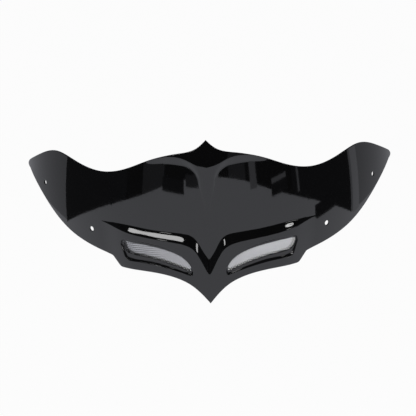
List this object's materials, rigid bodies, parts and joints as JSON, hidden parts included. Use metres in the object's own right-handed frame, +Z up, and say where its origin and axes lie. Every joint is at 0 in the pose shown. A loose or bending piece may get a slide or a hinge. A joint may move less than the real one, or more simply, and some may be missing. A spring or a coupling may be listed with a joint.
{
  "type": "motorcycle windshield",
  "caption": "Wrap-around formed fairing windshield in gloss black sheet with a stepped lower panel, meshed vents and screw holes.",
  "frame": {"origin": "centre of the bounding box at the level of the lower point", "axes": "+X to the right seen from the front, -Y forward, +Z up as the screen stands on the bike"},
  "size_m": [0.7798, 0.314, 0.3242],
  "materials": {
    "black_sheet": "polished, see-through only at the edges",
    "vent_mesh": "expanded metal, satin"
  },
  "bodies": {
    "root": {"windshield": "black_sheet", "left_vent_mesh": "vent_mesh", "right_vent_mesh": "vent_mesh"}
  },
  "joints": []
}
